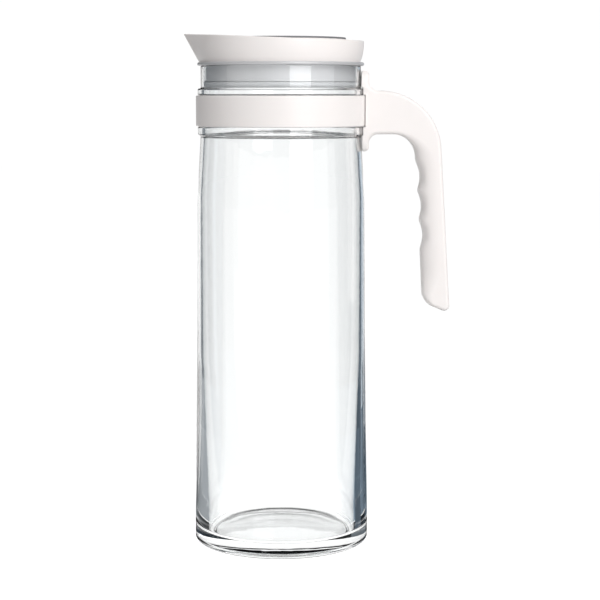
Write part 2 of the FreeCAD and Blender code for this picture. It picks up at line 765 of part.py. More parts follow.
def make_dial():
    """Drum valve: a flat top with two finger cups, a skirt with two windows, a stem and a stop lug."""
    under_cup = d.dial_top - d.cup_depth - d.cup_skin
    under_top = d.dial_top - d.dial_skin
    groove = d.seal_section + 0.06
    body = turned_body("pour_dial", [
        (0, d.dial_top),
        (d.dial_radius, d.dial_top, 0.9),
        (d.dial_radius, d.seal_level + groove),
        (d.seal_centre - d.seal_section, d.seal_level + groove),
        (d.seal_centre - d.seal_section, d.seal_level - groove),
        (d.dial_radius, d.seal_level - groove),
        (d.dial_radius, d.drum_low),
        (d.drum_inner, d.drum_low),
        (d.drum_inner, under_top, 1.0),
        (d.cup_radius + d.cup_skin, under_top, 1.0),
        (d.cup_radius + d.cup_skin, under_cup, 1.5),
        (d.stem_radius, under_cup, 1.0),
        (d.stem_radius, d.stem_low),
        (0, d.stem_low),
    ])
    for side in (-1, 1):
        cup = new_sketch(body, "XY_Plane", lift=d.dial_top)
        angle = math.asin((d.bar_half / d.cup_radius).value)
        reach = d.cup_radius.value * math.cos(angle)
        edge = d.bar_half.value * side
        start, end = (angle, math.pi - angle) if side > 0 else (math.pi + angle, 2 * math.pi - angle)
        cup.addGeometry([
            Part.ArcOfCircle(Part.Circle(Vector(), Vector(0, 0, 1), d.cup_radius.value), start, end),
            Part.LineSegment(Vector(-reach * side, edge, 0), Vector(reach * side, edge, 0)),
        ], False)
        cup.addConstraint([
            Sketcher.Constraint("Coincident", 0, 3, -1, 1),
            Sketcher.Constraint("Coincident", 0, 2, 1, 1),
            Sketcher.Constraint("Coincident", 1, 2, 0, 1),
            Sketcher.Constraint("Horizontal", 1),
        ])
        for kind, where, size in (("Radius", (0,), d.cup_radius), ("DistanceY", (-1, 1, 1, 1), d.bar_half * side)):
            number = cup.addConstraint(Sketcher.Constraint(kind, *where, size.value))
            bind(cup, f"Constraints[{number}]", size)
        extrude(body, "Pocket", cup, d.cup_depth)
        low = d.dial_top.value - d.cup_depth.value
        round_edges(body, 1.5, lambda e: all_at(e, "z", low) and e.BoundBox.Center.y * side > 0)

    core = new_sketch(body, "XY_Plane", lift=under_cup)
    for side in (-1, 1):
        low, high = sorted((d.stem_radius * side * 1.6, (d.cup_radius - 3) * side), key=lambda s: s.value)
        add_rectangle(core, low, high, d.cup_skin - d.bar_half, d.bar_half - d.cup_skin)
    extrude(body, "Pocket", core, d.cup_depth - 0.4, reversed_way=True)

    for side in (-1, 1):
        window = new_sketch(body, "XZ_Plane", lift=-side * (d.cup_radius + 3))
        add_rectangle(window, -d.window_half, d.window_half, d.window_low, d.window_top)
        extrude(body, "Pocket", window, 20, reversed_way=side < 0)

    lug = new_sketch(body, "XY_Plane", lift=d.lug_low)
    add_rectangle(lug, d.lug_inner, d.lug_outer, -d.spoke_half, d.spoke_half)
    extrude(body, "Pad", lug, under_cup - d.lug_low + 0.2)

    pilot = new_sketch(body, "XY_Plane", lift=d.stem_low)
    add_circle(pilot, 0, 0, d.screw_hole)
    extrude(body, "Pocket", pilot, 9, reversed_way=True)


def make_strainer():
    """Curved slotted screen that fills the drum's -Y window and holds back ice and fruit."""
    body = turned_body("strainer", [
        (d.drum_inner + 0.2, d.window_low + 0.1),
        (d.dial_radius - 0.3, d.window_low + 0.1),
        (d.dial_radius - 0.3, d.window_top - 0.1),
        (d.drum_inner + 0.2, d.window_top - 0.1),
    ])
    keep = new_sketch(body, "XY_Plane", lift=d.window_low - 2)
    reach = d.dial_radius + 4
    half = d.window_half - 0.1
    add_outline(keep, [
        (-reach, -reach),
        (-half, -reach),
        (-half, 0),
        (half, 0),
        (half, -reach),
        (reach, -reach),
        (reach, reach),
        (-reach, reach),
    ])
    extrude(body, "Pocket", keep, d.window_top - d.window_low + 4, reversed_way=True)
    slot = new_sketch(body, "XZ_Plane", lift=d.cup_radius)
    count = 9
    low = -(count - 1) / 2 * d.strainer_pitch
    add_rectangle(
        slot, low - d.strainer_slot / 2, low + d.strainer_slot / 2, d.window_low + 1.2, d.window_top - 1.2, 0.6
    )
    cut = extrude(body, "Pocket", slot, 20, reversed_way=True)
    row = body.newObject("PartDesign::LinearPattern", "strainer_row")
    row.Originals = [cut]
    row.Direction = (slot, ["H_Axis"])
    bind(row, "Length", (count - 1) * d.strainer_pitch)
    row.Occurrences = count
    body.Tip = row
    doc.recompute()


def make_dial_seal():
    """O-ring between the drum and the well."""
    ring = doc.addObject("Part::Torus", "dial_seal")
    ring.Label = "dial_seal"
    bind(ring, "Radius1", d.seal_centre)
    bind(ring, "Radius2", d.seal_section)
    bind(ring, "Placement.Base.z", d.seal_level)


def make_dial_fixings():
    """Washer and screw that hold the dial's stem in the hub, from below."""
    turned_body("dial_washer", [
        (d.screw_clearance, d.stem_low - d.washer_thickness),
        (d.washer_radius, d.stem_low - d.washer_thickness, 0.2),
        (d.washer_radius, d.stem_low, 0.2),
        (d.screw_clearance, d.stem_low),
    ])
    seat = d.stem_low - d.washer_thickness
    turned_body("dial_screw", [
        (0, seat - d.head_height),
        (d.screw_head, seat - d.head_height, 0.9),
        (d.screw_head, seat),
        (d.screw_radius, seat),
        (d.screw_radius, seat + 8.5, 0.5),
        (0, seat + 8.5),
    ])


# ---------------------------------------------------------------- build, test and write

NODES = [
    "glass_jug", "band_liner", "collar_band", "handle_near", "handle_far", "handle_screws", "screw_plugs",
    "stopper", "seal_ring", "lid_cap", "pour_dial", "strainer", "dial_seal", "dial_washer", "dial_screw",
]

make_glass()
make_liner()
make_band()
make_handle("handle_near", -1)
make_handle("handle_far", 1)
make_screws()
make_plugs()
make_stopper()
make_ring()
make_cap()
make_dial()
make_strainer()
make_dial_seal()
make_dial_fixings()
doc.recompute()

for item in doc.Objects:
    if "Invalid" in item.State or "Error" in item.State:
        raise RuntimeError(f"{item.Name} ({item.Label}) is {item.State}")
for name in NODES:
    shape = doc.getObjectsByLabel(name)[0].Shape
    if shape.isNull() or not shape.isValid():
        raise RuntimeError(f"{name} has no valid shape")
    shape.exportStep(f"parts/{name}.step")
    box = shape.BoundBox
    print(
        f"{name:14s} solids {len(shape.Solids)} volume {shape.Volume / 1000:8.2f} cm3  "
        f"x {box.XMin:7.2f} {box.XMax:7.2f}  y {box.YMin:7.2f} {box.YMax:7.2f}  z {box.ZMin:7.2f} {box.ZMax:7.2f}"
    )
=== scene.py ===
"""Looks for a large glass water jug with a clamped handle and a spouted lid.

Every size below is in millimetres, in the jug's own frame: +Z up along its axis, the handle towards +X and
the spout towards -X. Meshes are written in metres.
"""

from __future__ import annotations

import logging
import math
from dataclasses import dataclass
from enum import Enum
from typing import Callable, Iterable, Sequence

import bmesh
import bpy
from mathutils import Matrix, Vector
from mathutils.geometry import delaunay_2d_cdt

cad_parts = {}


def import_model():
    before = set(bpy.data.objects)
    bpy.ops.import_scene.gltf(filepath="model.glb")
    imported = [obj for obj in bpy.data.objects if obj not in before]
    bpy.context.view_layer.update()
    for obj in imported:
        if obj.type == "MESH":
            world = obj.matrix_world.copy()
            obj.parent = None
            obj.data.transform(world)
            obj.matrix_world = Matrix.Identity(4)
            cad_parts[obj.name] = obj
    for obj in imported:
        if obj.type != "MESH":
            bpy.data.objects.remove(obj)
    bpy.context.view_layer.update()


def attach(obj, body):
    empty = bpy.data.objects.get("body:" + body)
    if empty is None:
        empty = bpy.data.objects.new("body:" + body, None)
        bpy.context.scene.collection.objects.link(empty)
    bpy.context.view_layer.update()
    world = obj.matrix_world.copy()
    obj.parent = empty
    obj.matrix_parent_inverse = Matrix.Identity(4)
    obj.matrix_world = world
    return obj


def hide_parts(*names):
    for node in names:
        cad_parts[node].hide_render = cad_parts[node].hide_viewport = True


LOG = logging.getLogger("water_jug")
MM = 0.001
Point = tuple[float, float]
Corner = tuple[float, ...]


class Slot(Enum):
    """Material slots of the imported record."""

    GLASS = "clear_glass"
    WHITE = "white_polypropylene"
    FROSTED = "frosted_plastic"
    SILICONE = "clear_silicone"
    STEEL = "stainless_steel"


# ---- outlines


def rounded(corners: Sequence[Corner], step: float = 7.5, closed: bool = True) -> list[Point]:
    """Points of an outline whose corners may be rounded.

    Args:
        corners: (x, y) or (x, y, radius) in order.
        step: largest turn in degrees between two points of an arc.
        closed: whether the last corner joins the first.

    Returns:
        The outline's points.
    """
    points: list[Point] = []
    count = len(corners)
    for i, corner in enumerate(corners):
        end = not closed and i in (0, count - 1)
        if len(corner) < 3 or end:
            points.append((corner[0], corner[1]))
            continue
        here = Vector(corner[:2])
        into = (here - Vector(corners[i - 1][:2])).normalized()
        out = (Vector(corners[(i + 1) % count][:2]) - here).normalized()
        turn = into.angle_signed(out) * -1
        reach = corner[2] * math.tan(abs(turn) / 2)
        side = Vector((-into.y, into.x)) * math.copysign(1, turn)
        centre = here - into * reach + side * corner[2]
        spoke = -side * corner[2]
        pieces = max(2, math.ceil(abs(math.degrees(turn)) / step))
        for n in range(pieces + 1):
            points.append(tuple(centre + spoke @ Matrix.Rotation(-turn * n / pieces, 2)))
    return points


def spaced(points: Sequence[Point], longest: float) -> list[Point]:
    """The same closed outline with no run longer than a given length.

    Args:
        points: the outline.
        longest: the longest run allowed.

    Returns:
        The outline with points added along its long runs.
    """
    result: list[Point] = []
    for a, b in zip(points, [*points[1:], points[0]]):
        pieces = max(1, math.ceil(math.dist(a, b) / longest))
        start, run = Vector(a), Vector(b) - Vector(a)
        result += [tuple(start + run * (n / pieces)) for n in range(pieces)]
    return result


def smooth_step(value: float) -> float:
    """0 below 0, 1 above 1, and a smooth rise between."""
    value = min(1.0, max(0.0, value))
    return value * value * (3 - 2 * value)


# ---- meshes


def mesh_object(
    name: str, verts: Iterable[Sequence[float]], faces: Iterable[Sequence[int]]
) -> bpy.types.Object:
    """A mesh object at the origin from points in millimetres.

    Args:
        name: the object's name.
        verts: its points.
        faces: its faces, as indices of the points.

    Returns:
        The linked object.
    """
    mesh = bpy.data.meshes.new(name)
    mesh.from_pydata([[c * MM for c in v] for v in verts], [], [list(f) for f in faces])
    piece = bpy.data.objects.new(name, mesh)
    bpy.context.scene.collection.objects.link(piece)
    return piece


def close_up(piece: bpy.types.Object, sharp: float = 38.0) -> bpy.types.Object:
    """Merges doubles, turns every face outwards and shades smooth up to an angle in degrees.

    Args:
        piece: the object to clean.
        sharp: edges that turn by more than this stay sharp.

    Returns:
        The same object.
    """
    work = bmesh.new()
    work.from_mesh(piece.data)
    bmesh.ops.remove_doubles(work, verts=work.verts, dist=1e-6)
    bmesh.ops.dissolve_degenerate(work, edges=work.edges, dist=1e-7)
    bmesh.ops.recalc_face_normals(work, faces=work.faces)
    if work.calc_volume(signed=True) < 0:
        bmesh.ops.reverse_faces(work, faces=work.faces)
    work.to_mesh(piece.data)
    work.free()
    piece.data.shade_smooth()
    piece.data.set_sharp_from_angle(angle=math.radians(sharp))
    return piece


def ring_surface(name: str, rings: Sequence[Sequence[Sequence[float]]]) -> bpy.types.Object:
    """A closed surface through rings of equal length; the last ring joins the first.

    Args:
        name: the object's name.
        rings: points of each ring, in millimetres.

    Returns:
        The closed object.
    """
    count = len(rings[0])
    verts = [v for ring in rings for v in ring]
    faces = []
    for i in range(len(rings)):
        a, b = i * count, ((i + 1) % len(rings)) * count
        for n in range(count):
            m = (n + 1) % count
            faces.append((a + n, a + m, b + m, b + n))
    return close_up(mesh_object(name, verts, faces))


def filled(outline: Sequence[Point]) -> list[tuple[int, ...]]:
    """Triangles that fill a closed outline, as indices of its points.

    Args:
        outline: the outline's points.

    Returns:
        The triangles.
    """
    count = len(outline)
    edges = [(n, (n + 1) % count) for n in range(count)]
    _, _, faces, origin, _, _ = delaunay_2d_cdt([Vector(p) for p in outline], edges, [], 1, 1e-5)
    return [tuple(origin[n][0] for n in face) for face in faces if all(origin[n] for n in face)]


def part_turn(
    name: str, profile: Sequence[Point], start: float, end: float, segments: int
) -> bpy.types.Object:
    """A profile (radius, level) turned about Z between two angles in degrees, with closed ends.

    Args:
        name: the object's name.
        profile: the closed profile.
        start: first angle.
        end: last angle.
        segments: steps between them.

    Returns:
        The closed object.
    """
    verts, faces = [], []
    count = len(profile)
    for n in range(segments + 1):
        angle = math.radians(start + (end - start) * n / segments)
        verts += [(r * math.cos(angle), r * math.sin(angle), z) for r, z in profile]
    for n in range(segments):
        a, b = n * count, (n + 1) * count
        faces += [(a + i, a + (i + 1) % count, b + (i + 1) % count, b + i) for i in range(count)]
    faces += [tuple(range(count)), tuple(range(segments * count, (segments + 1) * count))]
    return close_up(mesh_object(name, verts, faces))


def cut(piece: bpy.types.Object, tools: Sequence[bpy.types.Object]) -> None:
    """Cuts each tool out of the piece and removes the tool.

    Args:
        piece: the object that is cut.
        tools: closed objects to take away from it.
    """
    for tool in tools:
        modifier = piece.modifiers.new("cut", "BOOLEAN")
        modifier.operation = "DIFFERENCE"
        modifier.solver = "EXACT"
        modifier.object = tool
        baked = bpy.data.meshes.new_from_object(piece.evaluated_get(bpy.context.evaluated_depsgraph_get()))
        piece.modifiers.remove(modifier)
        piece.data = baked
        bpy.data.objects.remove(tool)
    close_up(piece)


def prism(
    name: str, outline: Sequence[Point], low: float, high: float, place: Matrix, edge: float = 0.0
) -> bpy.types.Object:
    """An upright prism on an outline, moved by a matrix in millimetres.

    Args:
        name: the object's name.
        outline: its outline, seen from above.
        low: level of its lower face.
        high: level of its upper face.
        place: the move.
        edge: rounding of its lower edge.

    Returns:
        The closed object.
    """
    centre = Vector((sum(p[0] for p in outline), sum(p[1] for p in outline))) / len(outline)
    steps = [(0.0, low)]
    if edge:
        turns = [math.radians(a) for a in (90, 60, 30, 0)]
        steps = [(edge * (1 - math.cos(a)), low + edge * (1 - math.sin(a))) for a in turns]
    verts, faces = [], []
    for inset, level in [*steps, (0.0, high)]:
        for p in outline:
            flat = Vector(p)
            flat -= (flat - centre).normalized() * inset
            verts.append(place @ Vector((flat.x, flat.y, level)))
    count = len(outline)
    rings = len(steps) + 1
    for i in range(rings - 1):
        a, b = i * count, (i + 1) * count
        faces += [(a + n, a + (n + 1) % count, b + (n + 1) % count, b + n) for n in range(count)]
    faces += [tuple(range(count)), tuple(range((rings - 1) * count, rings * count))]
    return close_up(mesh_object(name, verts, faces))


def carried(node: str, name: str, sharp: float = 30.0) -> bpy.types.Object:
    """A merged, smooth-shaded copy of a CAD node, to stand for it.

    Args:
        node: the CAD node.
        name: the copy's name.
        sharp: edges that turn by more than this stay sharp.

    Returns:
        The copy.
    """
    source = bpy.data.objects[node]
    piece = bpy.data.objects.new(name, source.data.copy())
    bpy.context.scene.collection.objects.link(piece)
    return close_up(piece, sharp)


# ---- node trees


def add_node(
    tree: bpy.types.NodeTree, kind: str, links: dict | None = None, **settings: object
) -> bpy.types.Node:
    """Adds a node, sets its properties or inputs, and links inputs from (node, output) pairs.

    Args:
        tree: the tree it goes into.
        kind: its type name.
        links: input to (source node, output).
        settings: properties, or inputs with _ for a space.

    Returns:
        The node.
    """
    node = tree.nodes.new(kind)
    for key, value in settings.items():
        if hasattr(node, key):
            setattr(node, key, value)
        else:
            node.inputs[key.replace("_", " ")].default_value = value
    for target, (source, output) in (links or {}).items():
        tree.links.new(source.outputs[output], node.inputs[target])
    return node


def turning_tree() -> bpy.types.NodeTree:
    """Geometry nodes that turn a profile polyline (x = radius, y = level) once round the jug's axis.

    Returns:
        The tree.
    """
    tree = bpy.data.node_groups.new("turned_about_axis", "GeometryNodeTree")
    kinds = {"Geometry": "Geometry", "Segments": "Int", "Path radius": "Float", "Finish": "Material"}
    for name, kind in kinds.items():
        tree.interface.new_socket(name, in_out="INPUT", socket_type=f"NodeSocket{kind}")
    tree.interface.new_socket("Geometry", in_out="OUTPUT", socket_type="NodeSocketGeometry")
    given = tree.nodes.new("NodeGroupInput")
    result = tree.nodes.new("NodeGroupOutput")
    profile = add_node(tree, "GeometryNodeMeshToCurve", {"Mesh": (given, "Geometry")})
    ring = {"Resolution": (given, "Segments"), "Radius": (given, "Path radius")}
    path = add_node(tree, "GeometryNodeCurvePrimitiveCircle", ring)
    level = add_node(tree, "GeometryNodeSetCurveNormal", {"Curve": (path, "Curve")}, mode="Z_UP")
    swept = {"Curve": (level, "Curve"), "Profile Curve": (profile, "Curve")}
    skin = add_node(tree, "GeometryNodeCurveToMesh", swept)
    merged = add_node(tree, "GeometryNodeMergeByDistance", {"Geometry": (skin, "Mesh")}, Distance=2e-6)
    real = add_node(tree, "GeometryNodeRealizeInstances", {"Geometry": (merged, "Geometry")})
    dressed = add_node(
        tree, "GeometryNodeSetMaterial", {"Geometry": (real, "Geometry"), "Material": (given, "Finish")}
    )
    tree.links.new(dressed.outputs["Geometry"], result.inputs["Geometry"])
    return tree


def apply_tree(
    piece: bpy.types.Object, tree: bpy.types.NodeTree, inputs: dict[str, object]
) -> bpy.types.Object:
    """Runs a geometry node tree on a piece and keeps the result as a plain mesh.

    Args:
        piece: the object.
        tree: the node tree.
        inputs: input name to value.

    Returns:
        The same object.
    """
    modifier = piece.modifiers.new("shape", "NODES")
    modifier.node_group = tree
    for item in tree.interface.items_tree:
        if item.in_out == "INPUT" and item.name in inputs:
            modifier[item.identifier] = inputs[item.name]
    bpy.context.view_layer.update()
    graph = bpy.context.evaluated_depsgraph_get()
    shaped = piece.evaluated_get(graph)
    baked = bpy.data.meshes.new_from_object(shaped, preserve_all_data_layers=True, depsgraph=graph)
    piece.modifiers.remove(modifier)
    piece.data = baked
    return piece


PATH_RADIUS = 0.01  # the turning path is a tiny circle, and the profile is drawn that much nearer


def turned(
    name: str, corners: Sequence[Corner], segments: int, finish: Finish, step: float = 7.5
) -> bpy.types.Object:
    """A closed body turned about the axis.

    Args:
        name: the object's name.
        corners: (radius, level[, rounding]) of its half section.
        segments: steps round the axis.
        finish: its finish.
        step: largest turn in degrees between two points of a rounding.

    Returns:
        The closed object.
    """
    profile = rounded(corners, step)
    edges = [(i, (i + 1) % len(profile)) for i in range(len(profile))]
    mesh = bpy.data.meshes.new(name)
    mesh.from_pydata([((r - PATH_RADIUS) * MM, -z * MM, 0) for r, z in profile], edges, [])
    piece = bpy.data.objects.new(name, mesh)
    bpy.context.scene.collection.objects.link(piece)
    if "turned_about_axis" not in bpy.data.node_groups:
        turning_tree()
    apply_tree(
        piece,
        bpy.data.node_groups["turned_about_axis"],
        {"Segments": segments, "Path radius": PATH_RADIUS * MM, "Finish": finish.material()},
    )
    return close_up(piece)


# ---- finishes


def linear(code: str) -> tuple[float, float, float, float]:
    """An sRGB hex colour as linear red, green, blue and alpha."""
    parts = [int(code[i:i + 2], 16) / 255 for i in (1, 3, 5)]
    return (*[c / 12.92 if c <= 0.04045 else ((c + 0.055) / 1.055) ** 2.4 for c in parts], 1.0)


@dataclass(frozen=True)
class Finish:
    """One real material: its slot, colour and surface numbers, and the fine relief its making leaves."""

    name: str
    slot: Slot
    colour: str
    roughness: float
    ior: float = 1.5
    metallic: float = 0.0
    transmission: float = 0.0
    subsurface: float = 0.0
    grain_mm: float = 1.0
    grain_height_mm: float = 0.0
    gloss_spread: float = 0.0
    cloud_mm: float = 9.0
    stretch: tuple[float, float, float] = (1.0, 1.0, 1.0)

    def material(self) -> bpy.types.Material:
        """The Blender material, made once.

        Returns:
            The material.
        """
        known = bpy.data.materials.get(self.name)
        if known:
            return known
        material = bpy.data.materials.new(self.name)
        material.use_nodes = True
        tree = material.node_tree
        shader = tree.nodes["Principled BSDF"]
        shader.inputs["Base Color"].default_value = linear(self.colour)
        shader.inputs["Roughness"].default_value = self.roughness
        shader.inputs["IOR"].default_value = self.ior
        shader.inputs["Metallic"].default_value = self.metallic
        shader.inputs["Transmission Weight"].default_value = self.transmission
        shader.inputs["Subsurface Weight"].default_value = self.subsurface
        shader.inputs["Subsurface Radius"].default_value = (1.0, 0.9, 0.85)
        shader.inputs["Subsurface Scale"].default_value = 1.2 * MM
        self.dress(tree, shader)
        return material

    def dress(self, tree: bpy.types.NodeTree, shader: bpy.types.Node) -> None:
        """Adds the grain: a fine bump and a slight spread of gloss and tone, in object coordinates.

        Args:
            tree: the material's nodes.
            shader: its shader.
        """
        where = add_node(tree, "ShaderNodeTexCoord")
        scaled = add_node(tree, "ShaderNodeMapping", {"Vector": (where, "Object")}, Scale=self.stretch)
        spot = {"Vector": (scaled, "Vector")}
        if self.grain_height_mm:
            grain = add_node(tree, "ShaderNodeTexNoise", spot, Scale=1 / (self.grain_mm * MM), Detail=3.0)
            height = self.grain_height_mm * MM
            bump = add_node(tree, "ShaderNodeBump", {"Height": (grain, "Fac")}, Strength=1.0, Distance=height)
            tree.links.new(bump.outputs["Normal"], shader.inputs["Normal"])
        if self.gloss_spread:
            cloud = add_node(tree, "ShaderNodeTexNoise", spot, Scale=1 / (self.cloud_mm * MM), Detail=4.0)
            spread = add_node(tree, "ShaderNodeMapRange", {"Value": (cloud, "Fac")})
            spread.inputs["To Min"].default_value = self.roughness - self.gloss_spread
            spread.inputs["To Max"].default_value = self.roughness + self.gloss_spread
            tree.links.new(spread.outputs["Result"], shader.inputs["Roughness"])
            deep = tuple(c * 0.985 for c in linear(self.colour)[:3])
            tone = add_node(tree, "ShaderNodeMix", {"Factor": (cloud, "Fac")}, data_type="RGBA")
            tone.inputs[6].default_value = (*deep, 1.0)
            tone.inputs[7].default_value = linear(self.colour)
            tree.links.new(tone.outputs[2], shader.inputs["Base Color"])


# Pressed soda-lime glass, fire-polished: almost colourless, with slow waves left by the mould.
GLASS = Finish(
    "pressed_soda_lime_glass", Slot.GLASS, "#FEFFFF", roughness=0.0, ior=1.52, transmission=1.0,
    grain_mm=26.0, grain_height_mm=0.05,
)
# Injection-moulded polypropylene: warm white, satin gloss, very fine spark texture, a little light below
# the skin.
WHITE = Finish(
    "moulded_polypropylene", Slot.WHITE, "#F4EFED", roughness=0.36, ior=1.49, subsurface=0.08,
    grain_mm=0.45, grain_height_mm=0.004, gloss_spread=0.05,
)
# Frosted polypropylene with a silvery pigment: a soft grey veil with broad, blurred bands of light down it.
FROSTED = Finish(
    "frosted_silvery_polypropylene", Slot.FROSTED, "#CBCBCD", roughness=0.38, metallic=0.25,
    grain_mm=0.8, grain_height_mm=0.03, gloss_spread=0.05,
)
# Moulded silicone: soft and milky, its edges a little darker than the frosted plug above it.
SILICONE = Finish(
    "moulded_silicone", Slot.SILICONE, "#C4C5C7", roughness=0.38, ior=1.41, metallic=0.2,
    grain_mm=0.8, grain_height_mm=0.02, gloss_spread=0.04,
)
# Painted shade: a dull, matt grey ring round the dial's top edge, standing for the dark, shaded line at the
# edge of the dial.
EDGE_SHADE_GREY = Finish(
    "dyed_elastomer", Slot.SILICONE, "#77787B", roughness=0.6, ior=1.45,
    grain_mm=0.4, grain_height_mm=0.004, gloss_spread=0.05,
)
# Stainless steel, turned and fine ground: grey metal with marks that run round it.
STEEL = Finish(
    "ground_stainless_steel", Slot.STEEL, "#C9CACC", roughness=0.28, metallic=1.0,
    grain_mm=0.3, grain_height_mm=0.004, gloss_spread=0.06, stretch=(1.0, 1.0, 6.0),
)


def fit_out(piece: bpy.types.Object, body: str, finish: Finish, *nodes: str) -> bpy.types.Object:
    """Gives a finished piece its finish, its body and the CAD nodes it stands for.

    Args:
        piece: the object.
        body: the body it rides.
        finish: its finish.
        nodes: the CAD nodes it stands for.

    Returns:
        The same object.
    """
    piece.data.materials.clear()
    piece.data.materials.append(finish.material())
    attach(piece, body)
    if nodes:
        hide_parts(*nodes)
    LOG.info("%s: %d faces on body %s", piece.name, len(piece.data.polygons), body)
    return piece


# ---- glass


@dataclass
class GlassBody:
    """Pressed glass jug: heavy foot, thin upper wall, two beads round the neck."""

    base_radius: float = 51.96
    foot_inner: float = 41.2
    foot_level: float = 16.0
    punt_depth: float = 1.6
    waist_level: float = 130.0
    waist_radius: float = 50.2
    shoulder_level: float = 206.0
    shoulder_radius: float = 49.5
    shoulder_end: float = 243.0
    neck_radius: float = 47.1
    bead_radius: float = 48.9
    bead_low: float = 244.0
    bead_high: float = 270.8
    band_low: float = 248.8
    band_high: float = 266.7
    rim_level: float = 283.9
    bore_neck: float = 45.4
    bore_throat: float = 44.9
    bore_middle: float = 47.0
    bore_foot: float = 44.4
    floor_level: float = 8.2
    floor_corner: float = 2.5
    segments: int = 288

    def corners(self) -> list[Corner]:
        """Half section of the glass, from the middle of the underside round to the middle of the floor.

        Returns:
            (radius, level[, rounding]) of each corner.
        """
        bead = self.bead_radius
        neck = self.neck_radius
        return [
            (0.0, self.punt_depth),
            (self.foot_inner - 1.4, self.punt_depth, 1.0),
            (self.foot_inner, 0.0, 0.8),
            (self.base_radius, 0.0, 3.0),
            (self.base_radius, self.foot_level, 60),
            (self.waist_radius, self.waist_level, 900),
            (self.shoulder_radius, self.shoulder_level, 160),
            (neck + 0.3, self.shoulder_end, 1.5),
            (bead, self.bead_low, 1.0),
            (bead, self.band_low, 1.0),
            (neck, self.band_low, 0.2),
            (neck, self.band_high, 0.2),
            (bead, self.band_high, 1.0),
            (bead, self.bead_high, 1.0),
            (neck, self.bead_high, 0.6),
            (neck, self.rim_level, 0.7),
            (self.bore_neck, self.rim_level, 0.7),
            (self.bore_neck, self.band_high, 40),
            (self.bore_throat, self.shoulder_end, 25),
            (self.bore_middle, self.shoulder_level, 90),
            (self.bore_middle, self.waist_level - 20.0, 300),
            (self.bore_foot, self.foot_level + 6.0, 120),
            (self.bore_foot, self.floor_level, self.floor_corner),
            (0.0, self.floor_level),
        ]

    def build(self) -> None:
        """Makes the glass as one closed wall, inside and outside together."""
        piece = turned("glass_body", self.corners(), self.segments, GLASS, step=6.0)
        piece.visible_shadow = False  # clear glass keeps no light off what stands in it
        fit_out(piece, "jug", GLASS, "glass_jug")


# ---- collar


@dataclass
class Collar:
    """Open band round the neck with two tabs inside the handle root, over a soft liner."""

    inner: float = 47.8
    outer: float = 50.0
    low: float = 248.8
    high: float = 266.7
    tab_gap: float = 0.3
    tab_thickness: float = 1.6
    tab_reach: float = 60.0
    tab_inset: float = 1.2
    liner_inner: float = 47.15
    liner_outer: float = 47.75
    liner_inset: float = 0.4

    def build(self) -> None:
        """Makes the band with its tabs, and the liner."""
        profile = rounded([
            (self.inner, self.low, 0.3),
            (self.outer, self.low, 0.8),
            (self.outer, self.high, 0.8),
            (self.inner, self.high, 0.3),
        ])
        gap = math.degrees(self.tab_gap / self.outer)
        band = part_turn("collar_ring", profile, gap, 360 - gap, 256)
        tabs = []
        under, over = self.low + self.tab_inset, self.high - self.tab_inset
        for side in (-1, 1):
            near, far = self.tab_gap * side, (self.tab_gap + self.tab_thickness) * side
            flat = rounded([
                (self.inner + 0.4, under),
                (self.tab_reach, under, 2.0),
                (self.tab_reach, over, 2.0),
                (self.inner + 0.4, over),
            ])
            upright = Matrix.Rotation(math.radians(90), 4, "X")
            tabs.append(prism("tab", flat, -max(near, far), -min(near, far), upright))
        joined = join([band, *tabs], "collar_ring")
        fit_out(joined, "jug", WHITE, "collar_band")
        under, over = self.low + self.liner_inset, self.high - self.liner_inset
        liner = turned("collar_liner", [
            (self.liner_inner, under, 0.15),
            (self.liner_outer, under, 0.15),
            (self.liner_outer, over, 0.15),
            (self.liner_inner, over, 0.15),
        ], 192, SILICONE)
        fit_out(liner, "jug", SILICONE, "band_liner")


def join(pieces: Sequence[bpy.types.Object], name: str) -> bpy.types.Object:
    """Joins pieces into the first one's mesh without merging them.

    Args:
        pieces: the objects.
        name: the joined object's name.

    Returns:
        The joined object.
    """
    whole = bmesh.new()
    for piece in pieces:
        whole.from_mesh(piece.data)
    first, *rest = pieces
    whole.to_mesh(first.data)
    whole.free()
    first.data.shade_smooth()
    first.data.set_sharp_from_angle(angle=math.radians(38))
    first.name = name
    for piece in rest:
        bpy.data.objects.remove(piece)
    return first


# ---- handle


